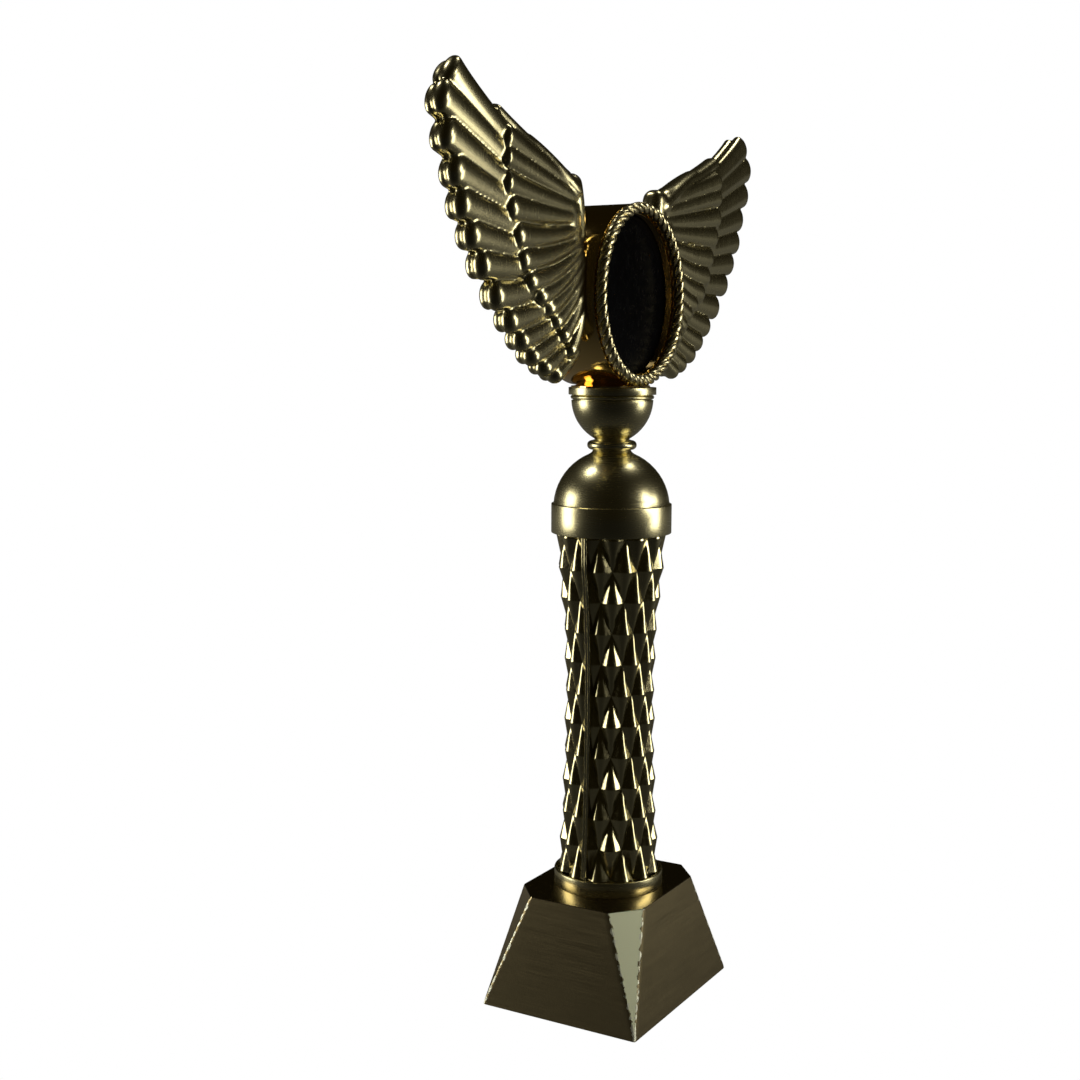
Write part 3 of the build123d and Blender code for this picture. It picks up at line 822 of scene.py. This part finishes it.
wing("wing_right", "right_wing", 1)
wing("wing_left", "left_wing", -1)
bpy.data.objects.remove(blank)

# %% [markdown]
# ## Base
# The base is a sloping block whose four upright corners are cut by long facets that run out to nothing
# at the bottom. Its faces are brushed level, the two front facets carry a painted reflection in a pale
# colour, and the plating has worn through in a ragged line where the facets meet the faces. The block
# is built from its corners and cut finely, so that the facets and the wear can be stored on its
# vertices and the edges can be nicked.

# %% Base block
base_low, base_high = millimetres("base_shell")
TOP_X = 27.1
TOP_Y = 22.3
CUT_X = 17.8
CUT_Y = 14.3
UPRIGHT_LEAST = 10


def base_block():
    """The block's twelve corners, closed by their convex hull."""
    bm = bmesh.new()
    for x, y in (
        (base_low.x, base_low.y),
        (base_high.x, base_low.y),
        (base_high.x, base_high.y),
        (base_low.x, base_high.y),
    ):
        bm.verts.new((x, y, base_low.z))
    for x, y in ((1, 1), (1, -1), (-1, 1), (-1, -1)):
        bm.verts.new((x * TOP_X, y * CUT_Y, base_high.z))
        bm.verts.new((x * CUT_X, y * TOP_Y, base_high.z))
    bmesh.ops.convex_hull(bm, input=bm.verts)
    bmesh.ops.dissolve_limit(bm, angle_limit=0.01, verts=bm.verts, edges=bm.edges)
    bmesh.ops.recalc_face_normals(bm, faces=bm.faces)
    return bm


bm = base_block()
print("base faces", len(bm.faces))
corner_edges = []
for edge in bm.edges:
    ends = [v.co.z for v in edge.verts]
    if max(ends) - min(ends) > UPRIGHT_LEAST:
        corner_edges.append((edge.verts[0].co.copy(), edge.verts[1].co.copy()))
print("worn edges", len(corner_edges))
bmesh.ops.triangulate(bm, faces=bm.faces)
for cuts in (5, 9):
    bmesh.ops.subdivide_edges(bm, edges=bm.edges, cuts=cuts, use_grid_fill=True)

# %% Facets, wear and nicks
FACET_LEAST = 0.3
FACET_BLEND = 3.0
WEAR_REACH = 1.6
ON_THE_EDGE = 0.05
NICK_LEAST = 0.12
NICK_RANGE = 0.35
BASE_HEART = Vector((0, 0, 18))


def distance_to_edge(point, ends):
    """How far a point lies from the straight edge between two ends."""
    start, end = ends
    span = end - start
    share = max(0.0, min(1.0, (point - start).dot(span) / span.length_squared))
    return (point - (start + span * share)).length


def nick_depth(point):
    """How deep the edge is dented here: coarse noise and a little fine noise."""
    bumpy = noise.noise(point * 0.9) * 0.5 + noise.noise(point * 2.3) * 0.35
    return NICK_LEAST + NICK_RANGE * max(0.0, bumpy)


# Only the two front facets are marked, for their painted reflection and their rougher finish.
painted_facet_layer = bm.verts.layers.float.new("facet")
for face in bm.faces:
    if abs(face.normal.x) > FACET_LEAST and face.normal.y < -FACET_LEAST:
        for vert in face.verts:
            vert[painted_facet_layer] = 1.0
# The value runs from 0 outside to 1 inside, through a half on the edge itself.
for vert in bm.verts:
    near = min(distance_to_edge(vert.co, ends) for ends in corner_edges)
    reach = min(0.5, near / FACET_BLEND)
    vert[painted_facet_layer] = 0.5 + reach * (1 if vert[painted_facet_layer] > 0.5 else -1)

# A second layer moves the first one in memory, so it is added only when that one is done.
wear_layer = bm.verts.layers.float.new("wear")
for vert in bm.verts:
    near = min(distance_to_edge(vert.co, ends) for ends in corner_edges)
    vert[wear_layer] = max(0.0, 1.0 - near / WEAR_REACH)
    if near < ON_THE_EDGE:
        vert.co += (BASE_HEART - vert.co).normalized() * nick_depth(vert.co)
print("base points", len(bm.verts))

# %% [markdown]
# The base's finish starts as brushed bronze and is changed in three places. The front facets are duller
# and painted pale, a painted reflection of the light they face. The worn edges are bare metal, and the
# level top is polished. Both borders are ragged because noise is added to the stored value before it is
# cut off.

# %% Base finish
BRONZE = (0.40, 0.32, 0.16)
DEEP_BRONZE = (0.30, 0.24, 0.11)
LEVEL_GRAIN = (60, 60, 6000)
BARE_METAL = (0.86, 0.84, 0.62, 1)
# Painted reflection: the front facets are coloured pale for the light they face, not for their metal.
FACET_PAINTED_REFLECTION = (0.97, 0.98, 0.64, 1)
FACET_ROUGHNESS = 0.52
TOP_ROUGHNESS = 0.17
RAGGED_SCALE = 520
RAGGED_DETAIL = 3
RAGGED_RANGE = (0.35, 0.65)
WEAR_JITTER = 0.8
WEAR_BORDER = (1.26, 1.30)
FACET_JITTER = 0.5
FACET_BORDER = (0.75, 0.79)
TOP_BORDER = (base_high.z * MM - 0.0003, base_high.z * MM - 0.0001)


def jittered(tree, attribute, jagged, strength):
    """A value stored on the vertices plus a share of the noise."""
    stored = tree.nodes.new("ShaderNodeAttribute")
    stored.attribute_name = attribute
    total = tree.nodes.new("ShaderNodeMath")
    total.operation = "MULTIPLY_ADD"
    total.inputs[1].default_value = strength
    tree.links.new(jagged, total.inputs[0])
    tree.links.new(stored.outputs["Fac"], total.inputs[2])
    return total.outputs["Value"]


def worn_brushed(name):
    """Brushed bronze with a painted reflection on the front facets, bare worn edges and a polished top.
    """
    material = metal(name, BRONZE, DEEP_BRONZE, 0.33, LEVEL_GRAIN, 0.22, 0.12, 0.10)
    tree = material.node_tree
    shader = shader_of(material)
    place = next(n for n in tree.nodes if n.type == "TEX_COORD")
    plated = shader.inputs["Base Color"].links[0].from_socket
    brushed = shader.inputs["Roughness"].links[0].from_socket
    height = tree.nodes.new("ShaderNodeSeparateXYZ")
    tree.links.new(place.outputs["Object"], height.inputs["Vector"])

    ragged = noise_value(tree, place.outputs["Object"], RAGGED_SCALE, RAGGED_DETAIL)
    jagged = remapped(tree, ragged, *RAGGED_RANGE)
    worn = remapped(tree, jittered(tree, "wear", jagged, WEAR_JITTER), *WEAR_BORDER)
    on_facet = remapped(tree, jittered(tree, "facet", jagged, FACET_JITTER), *FACET_BORDER)
    on_top = remapped(tree, height.outputs["Z"], *TOP_BORDER)

    # The front facets get the pale colour of a painted reflection; their duller roughness is real.
    with_painted_reflection = blended(tree, "RGBA", plated, FACET_PAINTED_REFLECTION, on_facet)
    bare = blended(tree, "RGBA", with_painted_reflection, BARE_METAL, worn)
    tree.links.new(bare, shader.inputs["Base Color"])
    rougher = blended(tree, "FLOAT", brushed, FACET_ROUGHNESS, on_facet)
    glossier = blended(tree, "FLOAT", rougher, TOP_ROUGHNESS, on_top)
    tree.links.new(glossier, shader.inputs["Roughness"])
    return material


brushed_bronze = worn_brushed("brushed_bronze")
finish_piece(bm, "base_block", brushed_bronze, "brushed_bronze", "base_shell")

# %% [markdown]
# ## Disc and hidden parts
# The holder's centre is a plain black disc, and its back is closed by a polished cover. The
# other parts are hidden inside or under the trophy, but each is still given its own finish:
# felt, cast iron, plastic, foam, brass and zinc-plated steel.

# %% Plain finishes for the parts kept from the frame
def plain(name, colour, shade, metallic, roughness, scale, depth, shine=0.5):
    """A non-directional finish with a little mottling."""
    material = metal(name, colour, shade, roughness, (scale, scale, scale), depth)
    shader = shader_of(material)
    shader.inputs["Metallic"].default_value = metallic
    shader.inputs["Specular IOR Level"].default_value = shine
    return material


finishes = {
    "insert_disc": plain(
        "disc_black", (0.0015, 0.0014, 0.0014), (0.0022, 0.002, 0.002), 0.0, 0.25, 300, 0.01, 0.05,
    ),
    "felt_pad": plain("felt", (0.02, 0.05, 0.03), (0.01, 0.03, 0.02), 0.0, 0.95, 2500, 0.9),
    "base_weight": plain("ballast", (0.10, 0.10, 0.11), (0.06, 0.06, 0.06), 0.8, 0.7, 700, 0.8),
    "base_plate": plain("plate_plastic", (0.03, 0.03, 0.03), (0.02, 0.02, 0.02), 0.0, 0.6, 900, 0.3),
    "disc_pad": plain("pad_foam", (0.04, 0.04, 0.04), (0.02, 0.02, 0.02), 0.0, 0.9, 2600, 0.8),
    "threaded_insert": plain("plain_brass", (0.80, 0.60, 0.26), (0.66, 0.48, 0.2), 1.0, 0.25, 900, 0.1),
    "back_cover": polished_gold,
}
plug = plain("plug_plastic", (0.05, 0.05, 0.05), (0.03, 0.03, 0.03), 0.0, 0.55, 900, 0.3)
steel = plain("steel", (0.60, 0.60, 0.62), (0.45, 0.46, 0.48), 1.0, 0.3, 800, 0.2)
for node in ("bottom_plug", "top_plug"):
    finishes[node] = plug
for node in ("tie_rod", "bottom_washer", "bottom_nut", "column_washer", "column_nut", "wing_screws"):
    finishes[node] = steel
for node, material in finishes.items():
    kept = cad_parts[node]
    kept.data.materials.clear()
    kept.data.materials.append(material)
print("kept from the frame:", sorted(finishes))

# %% [markdown]
# ## Studio
# The trophy stands on a pale floor in front of a pale surround. Polished metal shows what
# is around it, so floor and surround are pale only to the camera. The metal itself sees a
# dark room with soft boxes on both sides, which give the long bright edges, and a floor that
# is faint and fades out towards the camera.

# %% What the camera sees and what the metal sees
PALE = (1.0, 1.0, 1.0, 1)


def show_apart(tree, to_camera, to_metal, output):
    """Shows one shader to the camera and the other to everything that reflects."""
    sorter = tree.nodes.new("ShaderNodeLightPath")
    chooser = tree.nodes.new("ShaderNodeMixShader")
    tree.links.new(sorter.outputs["Is Camera Ray"], chooser.inputs["Fac"])
    tree.links.new(to_metal.outputs[0], chooser.inputs[1])
    tree.links.new(to_camera.outputs[0], chooser.inputs[2])
    tree.links.new(chooser.outputs[0], output.inputs["Surface"])


# %% Floor
FLOOR_HALF = 30
TOWARDS_CAMERA = (-0.861, -0.508, 0.0)
FADE_REACH = 0.35
FAINTEST = 0.008
STRONGEST = 0.09
bm = bmesh.new()
bmesh.ops.create_grid(bm, x_segments=4, y_segments=4, size=FLOOR_HALF)
floor_mesh = bpy.data.meshes.new("floor")
bm.to_mesh(floor_mesh)
bm.free()
floor = bpy.data.objects.new("floor", floor_mesh)
bpy.context.scene.collection.objects.link(floor)
floor_material = bpy.data.materials.new("pale_floor")
floor_material.use_nodes = True
floor_tree = floor_material.node_tree
floor_nodes = floor_tree.nodes
floor_link = floor_tree.links.new
floor_nodes.clear()
floor_output = floor_nodes.new("ShaderNodeOutputMaterial")
seen = floor_nodes.new("ShaderNodeEmission")
seen.inputs["Color"].default_value = PALE
seen.inputs["Strength"].default_value = 1.0
mirrored = floor_nodes.new("ShaderNodeEmission")
mirrored.inputs["Color"].default_value = PALE
floor_place = floor_nodes.new("ShaderNodeTexCoord")
towards = floor_nodes.new("ShaderNodeVectorMath")
towards.operation = "DOT_PRODUCT"
towards.inputs[1].default_value = TOWARDS_CAMERA
floor_link(floor_place.outputs["Object"], towards.inputs[0])
fade = remapped(floor_tree, towards.outputs["Value"], FADE_REACH, -FADE_REACH, FAINTEST, STRONGEST)
fade.node.interpolation_type = "SMOOTHSTEP"
floor_link(fade, mirrored.inputs["Strength"])
show_apart(floor_tree, seen, mirrored, floor_output)
floor_mesh.materials.append(floor_material)
floor.visible_diffuse = False
print("floor reaches", FLOOR_HALF, "m each way")

# %% Surround
ROOM = (0.008, 0.0065, 0.0025, 1)
world = bpy.context.scene.world or bpy.data.worlds.new("surround")
bpy.context.scene.world = world
world.use_nodes = True
world_nodes = world.node_tree.nodes
world_nodes.clear()
world_output = world_nodes.new("ShaderNodeOutputWorld")
room = world_nodes.new("ShaderNodeBackground")
room.inputs["Color"].default_value = ROOM
surround = world_nodes.new("ShaderNodeBackground")
surround.inputs["Color"].default_value = PALE
show_apart(world.node_tree, surround, room, world_output)
bpy.context.scene.view_settings.view_transform = "Standard"
print("room seen by the metal", ROOM[:3])

# %% Soft boxes
LIGHT_AIM = Vector((0, 0, 0.16))
ROLL_RIGHT = 40


def bearing(azimuth, elevation):
    """The direction away from the trophy, in degrees. Azimuth 0 is straight in front."""
    a = math.radians(azimuth)
    e = math.radians(elevation)
    return Vector((math.sin(a) * math.cos(e), -math.cos(a) * math.cos(e), math.sin(e)))


def soft_box(name, azimuth, elevation, distance, width, height, power, roll=0):
    """An area light that faces a point just above the trophy's middle."""
    data = bpy.data.lights.new(name, "AREA")
    data.shape = "RECTANGLE"
    data.size = width
    data.size_y = height
    data.energy = power
    away = bearing(azimuth, elevation)
    light = bpy.data.objects.new(name, data)
    light.location = LIGHT_AIM + away * distance
    light.rotation_mode = "QUATERNION"
    tilt = Quaternion((0, 0, 1), math.radians(roll))
    light.rotation_quaternion = (-away).to_track_quat("-Z", "Y") @ tilt
    bpy.context.scene.collection.objects.link(light)
    print(name, "at", [round(v, 2) for v in light.location])


# Azimuth and elevation in degrees, distance, width and height in metres, power in watts.
soft_box("box_right", 28, 1, 0.6, 0.22, 0.30, 1.0)
soft_box("box_right_upper", 13, 16, 1.2, 0.30, 0.36, 2.3, ROLL_RIGHT)
soft_box("box_left", -152, 3, 0.6, 0.28, 0.36, 1.55)
soft_box("box_high_left", -160, 60, 1.2, 0.25, 0.25, 2.4)
soft_box("box_high_right", 66, 64, 1.2, 0.25, 0.25, 1.6)

# %% [markdown]
# The camera stands half a metre away, in front of the left wing and three quarters of the
# way up the trophy. Its place is a bearing and a distance from an aim point beside the rod.

# %% Camera
CAMERA_AZIMUTH = -59.49
CAMERA_ELEVATION = 7.18
CAMERA_DISTANCE = 0.50876
CAMERA_ROLL = math.radians(0.17)
LENS = 51.77
SENSOR_WIDTH = 36
CLIP_START = 0.01
AIM_RIGHT = -0.02329
AIM_HEIGHT = 0.1528
back = bearing(CAMERA_AZIMUTH, CAMERA_ELEVATION)
right = (-back).cross(Vector((0, 0, 1))).normalized()
up = right.cross(-back)
turned_right = right * math.cos(CAMERA_ROLL) + up * math.sin(CAMERA_ROLL)
turned_up = up * math.cos(CAMERA_ROLL) - right * math.sin(CAMERA_ROLL)
axes = Matrix((turned_right, turned_up, back)).transposed()
camera_data = bpy.data.cameras.new("camera")
camera_data.lens = LENS
camera_data.sensor_width = SENSOR_WIDTH
camera_data.clip_start = CLIP_START
camera = bpy.data.objects.new("camera", camera_data)
camera.location = Vector((0, 0, AIM_HEIGHT)) + right * AIM_RIGHT + back * CAMERA_DISTANCE
camera.rotation_mode = "QUATERNION"
camera.rotation_quaternion = axes.to_quaternion()
bpy.context.scene.collection.objects.link(camera)
bpy.context.scene.camera = camera
print("camera at", [round(v, 3) for v in camera.location])
